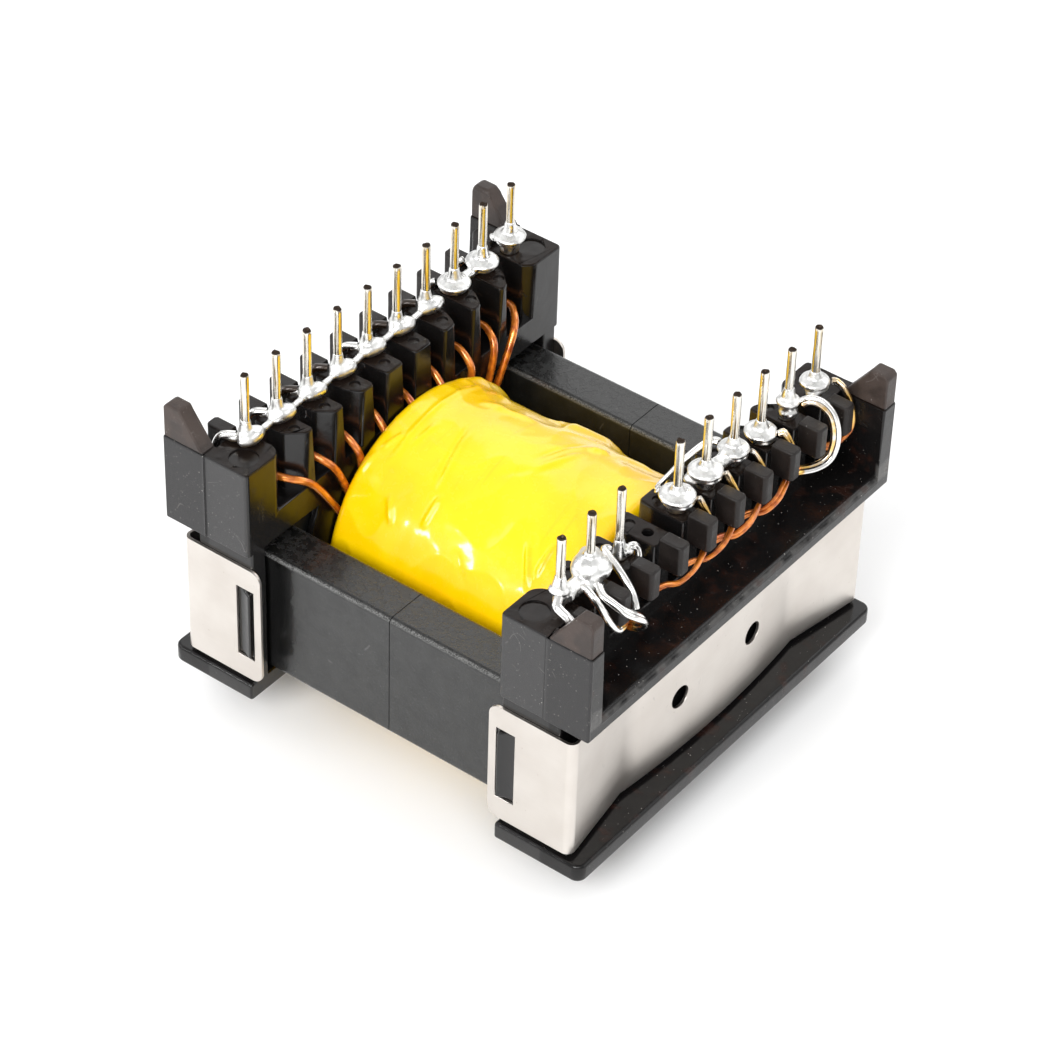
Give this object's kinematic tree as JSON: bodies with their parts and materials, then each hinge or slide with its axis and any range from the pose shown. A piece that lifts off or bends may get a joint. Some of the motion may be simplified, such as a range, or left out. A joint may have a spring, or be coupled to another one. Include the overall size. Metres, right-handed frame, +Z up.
{
  "type": "high-voltage transformer",
  "caption": "Ferrite-core switching transformer with a wound, tape-wrapped horizontal coil former, spring clips, and rows of soldered board pins along both ends.",
  "frame": {"origin": "on the plane of the two flange undersides, in the middle of the part", "axes": "+X along the winding axis towards the row with the missing pin, +Y along the pin rows, +Z up the pins"},
  "size_m": [0.0576, 0.0552, 0.0461],
  "materials": {
    "former": "satin",
    "ferrite": "satin",
    "spring_steel": "satin",
    "copper": "gloss",
    "layer_tape": "gloss",
    "outer_tape": "gloss",
    "pin": "gloss",
    "copper_wire": "gloss",
    "tinned_wire": "gloss",
    "solder": "gloss"
  },
  "bodies": {
    "root": {"coil_former": "former", "core_half_left": "ferrite", "core_half_right": "ferrite", "clip_left": "spring_steel", "clip_right": "spring_steel", "inner_primary_winding": "copper", "secondary_winding": "copper", "outer_primary_winding": "copper", "inner_insulation": "layer_tape", "outer_insulation": "layer_tape", "outer_tape": "outer_tape", "pin_01": "pin", "pin_02": "pin", "pin_03": "pin", "pin_04": "pin", "pin_05": "pin", "pin_06": "pin", "pin_07": "pin", "pin_08": "pin", "pin_09": "pin", "pin_10": "pin", "pin_11": "pin", "pin_12": "pin", "pin_13": "pin", "pin_15": "pin", "pin_16": "pin", "pin_17": "pin", "pin_18": "pin", "pin_19": "pin", "pin_20": "pin", "lead_01": "copper_wire", "lead_02": "copper_wire", "lead_03": "copper_wire", "lead_04": "copper_wire", "lead_05": "copper_wire", "lead_06": "copper_wire", "lead_07": "copper_wire", "lead_08": "copper_wire", "lead_09": "copper_wire", "lead_11": "tinned_wire", "lead_12": "tinned_wire", "lead_13": "tinned_wire", "lead_15": "copper_wire", "lead_16": "copper_wire", "lead_17": "copper_wire", "lead_18": "copper_wire", "lead_19": "tinned_wire", "lead_20": "tinned_wire", "strand_11_12": "tinned_wire", "strand_12_13": "tinned_wire", "strand_15_17": "tinned_wire", "solder_left_bus": "solder", "solder_left_end": "solder", "solder_right_near": "solder", "solder_right_middle": "solder", "solder_right_far": "solder"}
  },
  "joints": []
}
